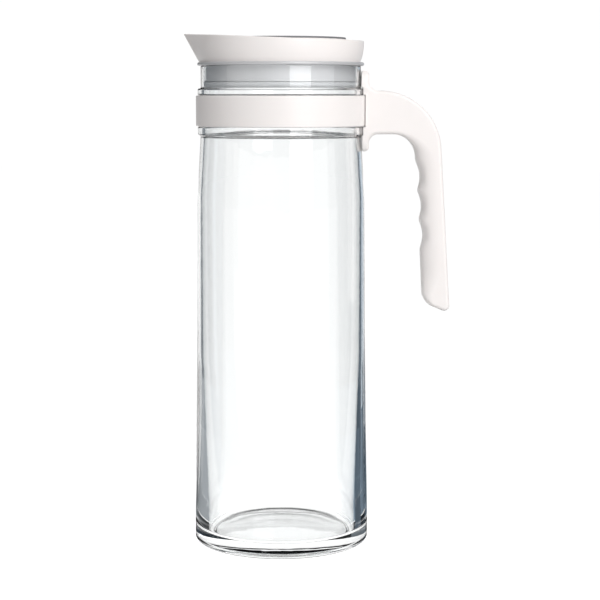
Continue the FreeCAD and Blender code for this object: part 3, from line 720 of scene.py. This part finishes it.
@dataclass
class Handle:
    """Open-ended handle in two half shells with tongues along the glass and three finger hollows."""

    half_width: float = 9.5
    arm_top: float = 269.6
    arm_under: float = 244.1
    tongue_face: float = 52.0
    tongue_back: float = 48.1
    tongue_top: float = 281.3
    tongue_low: float = 234.0
    outer_bend: float = 36.0
    inner_bend: float = 13.5
    outer_high: float = 92.4
    outer_low: float = 100.3
    grip_end: float = 138.0
    heel_level: float = 144.7
    inner_high: float = 78.6
    inner_low: float = 84.2
    crest_level: float = 228.0
    finger_pitch: float = 17.2
    finger_depth: float = 2.1
    finger_count: int = 3
    outer_round: float = 2.2
    grip_inset: float = 11.4
    grip_depth: float = 9.0
    root_round: float = 0.15
    seam: float = 0.15
    band_seat: float = 50.45
    bead_seat: float = 49.2
    bead_low: float = 243.6
    bead_high: float = 271.2
    band_low: float = 248.3
    band_high: float = 267.2
    crest_blur: float = 3.6
    heel_round: float = 9.0
    counterbore: float = 3.45
    counterbore_depth: float = 1.6
    plug_radius: float = 3.2
    plug_recess: float = 0.05
    plug_depth: float = 2.0

    def finger_line(self, level: float) -> float:
        """Reach of the line through the finger crests at a level."""
        lean = (self.inner_low - self.inner_high) / (self.arm_under - self.heel_level)
        return self.inner_high + (self.arm_under - level) * lean

    def hollow(self, x: float, z: float) -> float:
        """Depth of the finger hollows at a point of the outline: shallow arcs that meet in soft crests.

        Args:
            x: reach of the point.
            z: its level.

        Returns:
            The depth.
        """
        if abs(x - self.finger_line(z)) > 1.5:
            return 0.0
        taps = 9
        depth = 0.0
        for n in range(taps):
            place = (self.crest_level - z + (n / (taps - 1) - 0.5) * self.crest_blur) / self.finger_pitch
            if 0 < place < self.finger_count:
                depth += 1 - (2 * (place % 1.0) - 1) ** 2
        return self.finger_depth * depth / taps

    def outline(self) -> list[Point]:
        """Side view without the finger hollows, starting at the top of the root's inner face.

        Returns:
            The outline's points.
        """
        corners: list[Corner] = [
            (self.tongue_back, self.tongue_top, 0.8),
            (self.tongue_face, self.tongue_top, 3.0),
            (self.tongue_face, self.arm_top, 5),
            (self.outer_high, self.arm_top, self.outer_bend),
            (self.outer_low, self.grip_end, 3.2),
            (self.inner_low, self.heel_level, self.heel_round),
            (self.inner_high, self.arm_under, self.inner_bend),
            (self.tongue_face, self.arm_under, 5),
            (self.tongue_face, self.tongue_low, 2.7),
            (self.tongue_back + 0.4, self.tongue_low, 0.4),
            (self.bead_seat - 0.5, self.bead_low - 0.6),
            (self.bead_seat, self.bead_low),
            (self.bead_seat, self.band_low),
            (self.band_seat, self.band_low),
            (self.band_seat, self.band_high),
            (self.bead_seat, self.band_high),
            (self.bead_seat, self.bead_high),
            (self.tongue_back, self.bead_high + 0.6),
        ]
        return spaced(rounded(corners, step=6.0), 0.9)

    def rounding(self, x: float, z: float) -> tuple[float, float]:
        """Rounding of the outline's edge at a point: tight on the root, broad for the hand.

        Args:
            x: reach of the point.
            z: its level.

        Returns:
            Inset and depth.
        """
        if x < self.band_seat + 0.1:
            return self.root_round, self.root_round
        rise = smooth_step((x - self.band_seat) / 2.0)
        base = self.root_round + (self.outer_round - self.root_round) * rise
        inner = 1 - smooth_step((x - self.finger_line(z) - 2.0) / 3.0)
        share = inner * smooth_step((self.arm_under + 3.0 - z) / 22.0) * smooth_step((x - 62.0) / 16.0)
        share *= 0.25 + 0.75 * smooth_step((z - self.grip_end - 6.0) / 22.0)
        return base + (self.grip_inset - base) * share, base + (self.grip_depth - base) * share

    def narrowing(self, x: float, z: float) -> float:
        """Share of the full width at a point: the tongues narrow to a leaf's tip, the rest keeps its width.

        Args:
            x: reach of the point.
            z: its level.

        Returns:
            The share.
        """
        if z > self.arm_top:
            along = (z - self.arm_top) / (self.tongue_top - self.arm_top)
        elif z < self.arm_under and x < 56.0:
            along = (self.arm_under - z) / (self.arm_under - self.tongue_low)
        else:
            return 1.0
        return math.sqrt(max(0.0, 1 - (0.86 * min(1.0, along)) ** 2.6))

    def hug(self, x: float, y: float) -> float:
        """Reach moved in so that the root's face follows the round of the neck.

        Args:
            x: reach of the point.
            y: its distance from the mid-plane.

        Returns:
            The new reach.
        """
        near = 1 - smooth_step((x - self.band_seat) / 3.0)
        radius = min(x, self.band_seat)
        return x - (radius - math.sqrt(max(1.0, radius * radius - y * y))) * near

    def roundings(self, outline: Sequence[Point]) -> list[tuple[float, float]]:
        """The rounding at each point of the outline, evened out along the hand's part.

        Args:
            outline: the outline's points.

        Returns:
            Inset and depth at each point.
        """
        count = len(outline)
        edges = [self.rounding(*p) for p in outline]
        for _ in range(14):
            evened = [
                tuple((edges[i - 1][k] + edges[i][k] + edges[(i + 1) % count][k]) / 3 for k in (0, 1))
                for i in range(count)
            ]
            on_root = [x < self.band_seat + 0.1 for x, _ in outline]
            edges = [edges[i] if on_root[i] else evened[i] for i in range(count)]
        return edges

    def half(self, name: str, side: int) -> bpy.types.Object:
        """One half shell.

        Args:
            name: the object's name.
            side: -1 towards -Y and 1 towards +Y.

        Returns:
            The closed object.
        """
        outline = self.outline()
        count = len(outline)
        turning = sum(a[0] * b[1] - b[0] * a[1] for a, b in zip(outline, [*outline[1:], outline[0]]))
        inward = []
        for i in range(count):
            run = (Vector(outline[(i + 1) % count]) - Vector(outline[i - 1])).normalized()
            inward.append(Vector((-run.y, run.x)) * math.copysign(1, turning))
        edges = self.roundings(outline)
        hollows = [self.hollow(*p) for p in outline]
        # Rings of points from the seam to the flat side: (inset, lift, share of the hollows) at each point.
        rings: list[list[Corner]] = [[(self.seam, 0.0, 1.0)] * count, [(0.0, self.seam, 1.0)] * count]
        for angle in (math.radians(9 * n) for n in range(11)):
            ring = []
            for wide, deep in edges:
                move = wide * (1 - math.cos(angle))
                lift = self.half_width - deep * (1 - math.sin(angle))
                ring.append((move, lift, 1 - smooth_step(move / 7.0)))
            rings.append(ring)
        rings.append([(wide + 0.15, self.half_width, 0.0) for wide, _ in edges])
        verts = []
        for ring in rings:
            for (x, z), away, hollow, (move, lift, share) in zip(outline, inward, hollows, ring):
                move += hollow * share
                px, pz = x + away.x * move, z + away.y * move
                y = side * lift * self.narrowing(px, pz)
                verts.append((self.hug(px, y), y, pz))
        faces = []
        for ring in range(len(rings) - 1):
            a, b = ring * count, (ring + 1) * count
            faces += [(a + n, a + (n + 1) % count, b + (n + 1) % count, b + n) for n in range(count)]
        for ring in (0, len(rings) - 1):
            flat = [(verts[ring * count + n][0], verts[ring * count + n][2]) for n in range(count)]
            faces += [tuple(ring * count + n for n in face) for face in filled(flat)]
        return close_up(mesh_object(name, verts, faces), 50)

    def build(self) -> None:
        """Makes both halves, and dresses the screws and plugs of the far one."""
        near = self.half("handle_near_half", -1)
        fit_out(near, "jug", WHITE, "handle_near")
        far = self.half("handle_far_half", 1)
        places = [((lo + hi) / 2).xz / MM for lo, hi in solid_boxes("screw_plugs")]
        circle = [(math.cos(math.tau * n / 48), math.sin(math.tau * n / 48)) for n in range(48)]
        upright = Matrix.Rotation(math.radians(90), 4, "X")
        cutters, plugs = [], []
        for x, z in places:
            shift = Matrix.Translation((x, 0, z)) @ upright
            bore = [(self.counterbore * a, self.counterbore * b) for a, b in circle]
            face = -self.half_width
            cutters.append(prism("bore", bore, face - 2, face + self.counterbore_depth, shift))
            disc = [(self.plug_radius * a, self.plug_radius * b) for a, b in circle]
            top, foot = face + self.plug_recess, face + self.plug_depth
            plugs.append(prism("plug", disc, top, foot, shift, edge=0.35))
        cut(far, cutters)
        fit_out(far, "jug", WHITE, "handle_far")
        fit_out(join(plugs, "screw_hole_plugs"), "jug", WHITE, "screw_plugs")
        fit_out(carried("handle_screws", "handle_screw_set"), "jug", STEEL, "handle_screws")


def solid_boxes(node: str) -> list[tuple[Vector, Vector]]:
    """Lowest and highest corner of each separate solid of a CAD node, in metres.

    Args:
        node: the CAD node.

    Returns:
        The pairs of corners, in order of X.
    """
    work = bmesh.new()
    work.from_mesh(bpy.data.objects[node].data)
    bmesh.ops.remove_doubles(work, verts=work.verts, dist=1e-6)
    left, boxes = set(work.verts), []
    while left:
        group, edge = set(), [left.pop()]
        while edge:
            vert = edge.pop()
            group.add(vert)
            for link in vert.link_edges:
                other = link.other_vert(vert)
                if other in left:
                    left.discard(other)
                    edge.append(other)
        spans = [(min(v.co[i] for v in group), max(v.co[i] for v in group)) for i in range(3)]
        boxes.append((Vector([s[0] for s in spans]), Vector([s[1] for s in spans])))
    work.free()
    return sorted(boxes, key=lambda b: b[0].x)


# ---- lid


@dataclass
class Stopper:
    """Frosted plug that hangs in the neck from a flange on the glass rim, with its silicone ring."""

    flange_radius: float = 49.0
    flange_low: float = 284.0
    flange_top: float = 286.0
    radius: float = 44.1
    bore: float = 41.4
    spigot_bore: float = 42.3
    spigot_low: float = 280.8
    ring_seat: float = 43.0
    ring_top: float = 274.4
    ring_low: float = 270.5
    ring_inner: float = 43.05
    ring_outer: float = 45.35
    ring_lead: float = 1.9
    end: float = 271.0

    def build(self) -> None:
        """Makes the plug and the ring."""
        plug = turned("stopper_plug", [
            (self.spigot_bore, self.flange_top, 0.2),
            (self.spigot_bore, self.spigot_low, 0.2),
            (self.bore, self.spigot_low, 0.3),
            (self.bore, self.end, 0.5),
            (self.ring_seat, self.end, 0.5),
            (self.ring_seat, self.ring_top + 0.1, 0.15),
            (self.radius, self.ring_top + 0.1, 0.35),
            (self.radius, self.flange_low, 0.8),
            (self.flange_radius, self.flange_low, 0.9),
            (self.flange_radius, self.flange_top, 0.9),
        ], 256, FROSTED)
        fit_out(plug, "lid", FROSTED, "stopper")
        ring = turned("stopper_ring", [
            (self.ring_inner, self.ring_low, 0.3),
            (self.ring_inner + 0.8, self.ring_low, 0.4),
            (self.ring_outer, self.ring_low + self.ring_lead, 1.2),
            (self.ring_outer, self.ring_top, 0.5),
            (self.ring_inner, self.ring_top, 0.1),
        ], 256, SILICONE)
        fit_out(ring, "ring", SILICONE, "seal_ring")


@dataclass
class Cap:
    """White cap drawn out to a spout, with a sunk deck, a round well for the dial and a pouring channel."""

    low: float = 286.0
    low_radius: float = 46.75
    radius: float = 48.85
    low_reach: float = 48.0
    reach: float = 57.3
    reach_level: float = 303.2
    tip_round: float = 1.2
    wall: float = 1.9
    deck: float = 296.0
    well: float = 38.6
    spigot_radius: float = 42.2
    spigot_low: float = 280.8
    sill: float = 290.4
    channel_half: float = 15.0
    channel_end: float = 51.0
    belly_height: float = 12.0
    foot_round: float = 10.8
    rim_middle: float = 299.2
    rim_slope: float = 0.0365
    rim_bow: float = 0.00039
    rim_round: float = 0.55
    foot_edge: float = 0.25
    deck_round: float = 1.2
    stem_bore: float = 4.05
    hub_radius: float = 8.0
    hub_top: float = 285.4
    spoke_half: float = 2.0
    spoke_end: float = 39.0

    def drop(self, delta: float, radius: float, reach: float, tip: float) -> float:
        """Radius of a drop outline at an angle in radians from the spout's direction.

        Args:
            delta: the angle.
            radius: radius of its round part.
            reach: distance of its tip from the centre.
            tip: rounding of the tip.

        Returns:
            The radius.
        """
        centre = reach - tip
        lean = math.acos(min(1.0, (radius - tip) / centre))
        delta = abs(delta)
        if delta >= lean:
            return radius
        if delta > math.atan2(tip * math.sin(lean), centre + tip * math.cos(lean)):
            return radius / math.cos(lean - delta)
        return centre * math.cos(delta) + math.sqrt(max(0.0, tip * tip - (centre * math.sin(delta)) ** 2))

    def wall_at(self, delta: float, level: float, inset: float = 0.0) -> float:
        """Radius of the flared outer wall at an angle and a level, less an inset.

        Args:
            delta: angle in radians from the spout.
            level: the level.
            inset: distance inside the outer wall.

        Returns:
            The radius.
        """
        rise = (level - self.low) / (self.reach_level - self.low)
        belly = max(0.0, 1 - (level - self.low) / self.belly_height) ** 2.2
        radius = self.radius - (self.radius - self.low_radius) * belly
        reach = self.low_reach + (self.reach - self.low_reach) * rise
        tip = self.tip_round + self.foot_round * max(0.0, 1 - rise) ** 1.6
        lean = math.cos(math.acos(min(1.0, (radius - tip) / (reach - tip))))
        return self.drop(delta, radius - inset, reach - inset / max(0.8, lean), tip + inset * 0.4)

    def rim(self, delta: float) -> float:
        """Level of the rim at an angle: it dips to the back and lifts in a slow curve to the spout's tip.

        Args:
            delta: angle in radians from the spout.

        Returns:
            The level.
        """
        level = 300.0
        for _ in range(3):
            x = -self.wall_at(delta, level) * math.cos(delta)
            level = self.rim_middle - self.rim_slope * x + self.rim_bow * x * x
        return level

    def angles(self) -> list[float]:
        """Angles round the cap, closer together at the spout.

        Returns:
            The angles in radians, from the spout's direction.
        """
        half = [math.radians(a) for a in (0.0, 0.6, 1.2, 1.8, 2.4, 3.2, 4.2, 5.4, 6.8, 8.4)]
        half += [math.radians(10 + 1.5 * n) for n in range(114)]
        return [-a for a in reversed(half[1:])] + half + [math.pi]

    def build(self) -> None:
        """Makes the cap's wall, deck, well, spigot and spider, and cuts the pouring channel."""
        angles = self.angles()
        tops = {a: self.rim(a) for a in angles}
        stations: list[Callable[[float], Point]] = []
        for n in range(11):
            stations.append(lambda a, n=n: self.outer_point(a, n / 10, tops[a]))
        for turn in (20, 45, 70, 90):
            stations.append(lambda a, t=turn: self.rim_point(a, math.radians(t), tops[a], 0.0))
        for turn in (90, 70, 45, 20, 0):
            stations.append(lambda a, t=turn: self.rim_point(a, math.radians(t), tops[a], self.wall))
        for share in (0.3, 0.6, 0.88):
            stations.append(lambda a, s=share: self.inner_point(a, s, tops[a]))
        for turn in (0, 30, 60, 90):
            stations.append(lambda a, t=turn: self.deck_corner(a, math.radians(t)))
        stations += [
            lambda a: (self.well + 3.5, self.deck),
            lambda a: (self.well + 0.6, self.deck),
            lambda a: (self.well + 0.18, self.deck - 0.18),
            lambda a: (self.well, self.deck - 0.6),
            lambda a: (self.well, 291.0),
            lambda a: (self.well, 286.0),
            lambda a: (self.well, self.spigot_low),
            lambda a: (self.spigot_radius - 0.4, self.spigot_low),
            lambda a: (self.spigot_radius, self.spigot_low + 0.4),
            lambda a: (self.spigot_radius, self.low),
            lambda a: (44.5, self.low),
        ]
        rings = []
        for station in stations:
            ring = []
            for angle in angles:
                radius, level = station(angle)
                ring.append((-radius * math.cos(angle), -radius * math.sin(angle), level))
            rings.append(ring)
        cap = ring_surface("lid_shell", rings)
        cut(cap, [self.channel_tool()])
        fit_out(join([cap, *self.spider()], "lid_shell"), "lid", WHITE, "lid_cap")

    def outer_point(self, angle: float, share: float, top: float) -> Point:
        """A point of the outer wall, a share of the way from the bottom edge to the rim's rounding.

        Args:
            angle: angle in radians from the spout.
            share: the share.
            top: level of the rim there.

        Returns:
            Radius and level.
        """
        foot = self.low + self.foot_edge
        level = foot + (top - self.rim_round - foot) * share
        inset = 0.0 if share else self.foot_edge
        return self.wall_at(angle, level, inset), level - inset

    def rim_point(self, angle: float, turn: float, top: float, inset: float) -> Point:
        """A point of the rim's rounding.

        Args:
            angle: angle in radians from the spout.
            turn: angle along the rounding.
            top: level of the rim there.
            inset: 0 for the outer edge, the wall's thickness for the inner one.

        Returns:
            Radius and level.
        """
        step = self.rim_round * (1 - math.cos(turn))
        inside = inset - step if inset else step
        return self.wall_at(angle, top, inside), top - self.rim_round * (1 - math.sin(turn))

    def inner_point(self, angle: float, share: float, top: float) -> Point:
        """A point of the inner wall, a share of the way down from the rim to the deck.

        Args:
            angle: angle in radians from the spout.
            share: the share.
            top: level of the rim there.

        Returns:
            Radius and level.
        """
        upper, lower = top - self.rim_round, self.deck + self.deck_round
        level = upper + (lower - upper) * share
        return self.wall_at(angle, level, self.wall), level

    def deck_corner(self, angle: float, turn: float) -> Point:
        """A point of the hollow corner between the inner wall and the deck.

        Args:
            angle: angle in radians from the spout.
            turn: angle along the corner.

        Returns:
            Radius and level.
        """
        bend = self.deck_round
        radius = self.wall_at(angle, self.deck + bend, self.wall) - bend * (1 - math.cos(turn))
        return radius, self.deck + bend * (1 - math.sin(turn))

    def channel_tool(self) -> bpy.types.Object:
        """The solid cut away for the channel: a rounded wedge on a floor that climbs to the spout.

        Returns:
            The closed solid.
        """
        rise = math.atan2(self.deck - self.sill, self.channel_end - self.well)
        run = (self.channel_end - self.well) / math.cos(rise)
        flat = rounded([
            (6.0, -self.channel_half),
            (6.0, self.channel_half),
            (-run * 0.35, self.channel_half - 1, 6),
            (-run - 1, 3.2, 3),
            (-run - 1, -3.2, 3),
            (-run * 0.35, 1 - self.channel_half, 6),
        ])
        place = Matrix.Translation((-self.well, 0, self.sill)) @ Matrix.Rotation(rise, 4, "Y")
        return prism("channel", flat, 0.0, 12.0, place, edge=1.2)

    def spider(self) -> list[bpy.types.Object]:
        """The hub that guides the dial's stem, and its three spokes.

        Returns:
            Hub and spokes.
        """
        low, high = self.spigot_low + 0.2, self.hub_top
        bore, out, half, far = self.stem_bore, self.hub_radius, self.spoke_half, self.spoke_end
        section = [(bore, low, 0.3), (out, low, 0.5), (out, high, 0.5), (bore, high, 0.3)]
        hub = turned("hub", section, 64, WHITE)
        spokes = []
        for heading in (180, 107, -107):
            bar = [(out - 0.6, -half), (far, -half), (far, half), (out - 0.6, half)]
            turn = Matrix.Rotation(math.radians(heading), 4, "Z")
            spokes.append(prism("spoke", bar, low, high - 0.1, turn))
        return [hub, *spokes]


@dataclass
class Dial:
    """Drum valve in the cap's well: flat top with two finger cups, its screen, seal and fixings."""

    top: float = 300.0
    edge_radius: float = 38.25
    edge_width: float = 0.6
    edge_below: float = 0.7
    edge_above: float = 0.3

    def build(self) -> None:
        """Carries the working parts over from the frame with smooth shading and their own finishes."""
        fit_out(carried("pour_dial", "dial_drum"), "dial", WHITE, "pour_dial")
        inner = self.edge_radius - self.edge_width
        low, high = self.top - self.edge_below, self.top + self.edge_above
        # The grey ring is painted shade: it stands for the dark, shaded line at the dial's top edge.
        edge = turned("dial_edge_line", [
            (inner, low),
            (self.edge_radius, low),
            (self.edge_radius, high, 0.25),
            (inner, high, 0.25),
        ], 192, EDGE_SHADE_GREY)
        fit_out(edge, "dial", EDGE_SHADE_GREY)
        fit_out(carried("strainer", "strainer_screen"), "dial", STEEL, "strainer")
        fit_out(carried("dial_seal", "dial_o_ring"), "dial", SILICONE, "dial_seal")
        fit_out(carried("dial_washer", "stem_washer"), "dial", STEEL, "dial_washer")
        fit_out(carried("dial_screw", "stem_screw"), "dial", STEEL, "dial_screw")


# ---- studio


@dataclass(frozen=True)
class Card:
    """A sheet of one colour hung as part of a ring round the jug, to draw a line or a band in the glass.

    Its sweep is the headings of its ends in degrees, clockwise from +Y as seen from above. Its radii and
    levels are those of its lower and upper edge.
    """

    name: str
    sweep: Point
    radii: Point
    levels: Point
    colour: str
    pieces: int = 48

    def build(self) -> tuple[list[Corner], list[tuple[int, ...]]]:
        """Makes the sheet.

        Returns:
            Its points and its faces.
        """
        verts = []
        for n in range(self.pieces + 1):
            heading = math.radians(self.sweep[0] + (self.sweep[1] - self.sweep[0]) * n / self.pieces)
            for radius, level in zip(self.radii, self.levels):
                verts.append((radius * math.sin(heading), radius * math.cos(heading), level))
        return verts, [(2 * n, 2 * n + 2, 2 * n + 3, 2 * n + 1) for n in range(self.pieces)]


SLATE = "#4B555F"
INK = "#0C0D0E"
CARDS = (
    Card("right_line", (48, 66), (150, 150), (0.3, 320), SLATE),
    Card("right_tint", (38, 48), (150, 150), (45, 320), "#CFDBE6"),
    Card("right_dark", (24, 100), (400, 400), (0, 310), "#2A3036"),
    Card("left_dark", (-100, -38), (400, 400), (0, 310), "#6B7278"),
    Card("right_floor", (24, 100), (84, 400), (0.2, 0.2), "#7F909F"),
    Card("left_floor", (-100, -38), (84, 400), (0.2, 0.2), "#A2A7AB"),
    # The black ring on the floor round the foot is a painted contact shadow: seen only through the glass, it
    # darkens the glass foot.
    Card("foot_ring", (0, 360), (52.3, 82.0), (0.2, 0.2), INK),
    Card("valance", (0, 360), (1200, 1200), (310, 800), INK),
)
# The foot of the right line's card, laid on the floor from the glass to the card.
LINE_FOOT = ((51.5, -6.0, 0.3), (111.0, 100.0, 0.3), (137.0, 61.0, 0.3), (56.0, -10.0, 0.3))


@dataclass
class Studio:
    """Pale floor, white drape, cards that draw the glass's edges, a soft key light and the camera."""

    distance: float = 989.5
    eye_level: float = 268.7
    eye_side: float = 11.3
    pitch: float = 7.11
    lens: float = 100.0
    room: float = 0.50
    floor_glow: float = 0.88
    floor_albedo: float = 0.28
    drape_glow: float = 1.02
    drape_radius: float = 5000.0
    drape_height: float = 4000.0
    drape_sides: int = 96
    key_power: float = 20.5
    key_size: Point = (1.0, 1.7)
    key_place: tuple[float, float, float] = (0.72, -1.3, 0.85)
    key_aim: float = 0.2
    walls_depth: float = 4.0

    def build(self) -> None:
        """Sets up everything that isn't the jug."""
        self.camera()
        self.world()
        self.floor()
        self.lights()
        bpy.context.scene.view_settings.view_transform = "Standard"

    def camera(self) -> None:
        """A long lens a little above the middle of the jug, looking slightly down."""
        data = bpy.data.cameras.new("camera")
        data.lens = self.lens
        data.sensor_width = 36.0
        data.clip_start = 0.01
        camera = bpy.data.objects.new("camera", data)
        camera.location = (self.eye_side * MM, -self.distance * MM, self.eye_level * MM)
        camera.rotation_euler = (math.radians(90 - self.pitch), 0, 0)
        bpy.context.scene.collection.objects.link(camera)
        bpy.context.scene.camera = camera

    def world(self) -> None:
        """Soft grey room light, the same from every side."""
        world = bpy.data.worlds.new("studio")
        bpy.context.scene.world = world
        world.use_nodes = True
        sky = world.node_tree.nodes["Background"]
        sky.inputs["Color"].default_value = (1, 1, 1, 1)
        sky.inputs["Strength"].default_value = self.room

    def glow(self, name: str, colour: str, strength: float, albedo: float = 0.0) -> bpy.types.Material:
        """A matt finish with light of its own.

        Args:
            name: the material's name.
            colour: sRGB colour of its light.
            strength: strength of its light.
            albedo: how much light it gives back.

        Returns:
            The material.
        """
        finish = bpy.data.materials.new(name)
        finish.use_nodes = True
        shader = finish.node_tree.nodes["Principled BSDF"]
        shader.inputs["Base Color"].default_value = (albedo, albedo, albedo, 1)
        shader.inputs["Roughness"].default_value = 1.0
        shader.inputs["Specular IOR Level"].default_value = 0.0
        shader.inputs["Emission Color"].default_value = linear(colour)
        shader.inputs["Emission Strength"].default_value = strength
        return finish

    def floor(self) -> None:
        """A wide, pale, matt floor lit from below as well, and a white drape all round it."""
        size, sides = self.drape_radius, self.drape_sides
        turns = [math.tau * n / sides for n in range(sides)]
        ring = [(size * math.cos(turn), size * math.sin(turn)) for turn in turns]
        floor = mesh_object("floor", [(x, y, 0) for x, y in ring], [tuple(range(sides))])
        floor.data.materials.append(self.glow("lit_table", "#FFFFFF", self.floor_glow, self.floor_albedo))
        verts = [(x, y, z) for z in (0, self.drape_height) for x, y in ring]
        faces = [(n, (n + 1) % sides, sides + (n + 1) % sides, sides + n) for n in range(sides)]
        drape = mesh_object("drape", verts, [*faces, tuple(range(sides, 2 * sides))])
        drape.data.materials.append(self.glow("white_drape", "#FFFFFF", self.drape_glow))
        for piece in (floor, drape):
            piece.visible_diffuse = False
            piece.visible_shadow = False
        drape.visible_glossy = False

    def lights(self) -> None:
        """A large key from the right front, and the cards that draw the edges of the glass."""
        data = bpy.data.lights.new("key", "AREA")
        data.shape = "RECTANGLE"
        data.size, data.size_y = self.key_size
        data.energy = self.key_power
        key = bpy.data.objects.new("key", data)
        key.location = self.key_place
        aim = Vector((0, 0, self.key_aim)) - key.location
        key.rotation_euler = aim.to_track_quat("-Z", "Y").to_euler()
        bpy.context.scene.collection.objects.link(key)
        for card in CARDS:
            self.hang(card.name, *card.build(), card.colour)
        self.hang("right_line_foot", LINE_FOOT, [(0, 1, 2, 3)], SLATE)

    def hang(
        self, name: str, verts: Sequence[Sequence[float]], faces: Sequence[Sequence[int]], colour: str
    ) -> None:
        """Sets a card that only shows as a line or a band in clear and glossy things.

        It is clear to light that has passed straight through both walls of the glass, four surfaces in all.

        Args:
            name: the card's name.
            verts: its points.
            faces: its faces.
            colour: its sRGB colour.
        """
        card = mesh_object(name, verts, faces)
        finish = self.glow(name, colour, 1.0)
        tree = finish.node_tree
        path = add_node(tree, "ShaderNodeLightPath")
        through = add_node(tree, "ShaderNodeMath", {0: (path, "Ray Depth")}, operation="COMPARE")
        through.inputs[1].default_value = self.walls_depth
        through.inputs[2].default_value = 0.5
        clear = add_node(tree, "ShaderNodeBsdfTransparent")
        mix = add_node(tree, "ShaderNodeMixShader", {0: (through, 0), 2: (clear, 0)})
        tree.links.new(tree.nodes["Principled BSDF"].outputs[0], mix.inputs[1])
        tree.links.new(mix.outputs[0], tree.nodes["Material Output"].inputs["Surface"])
        card.data.materials.append(finish)
        card.visible_camera = False
        card.visible_diffuse = False
        card.visible_shadow = False


def main() -> None:
    """Builds every sub-assembly in order and reports it."""
    logging.basicConfig(level=logging.INFO, format="%(name)s: %(message)s")
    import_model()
    for part in (Studio(), GlassBody(), Collar(), Handle(), Stopper(), Cap(), Dial()):
        part.build()


if __name__ == "__main__":
    main()
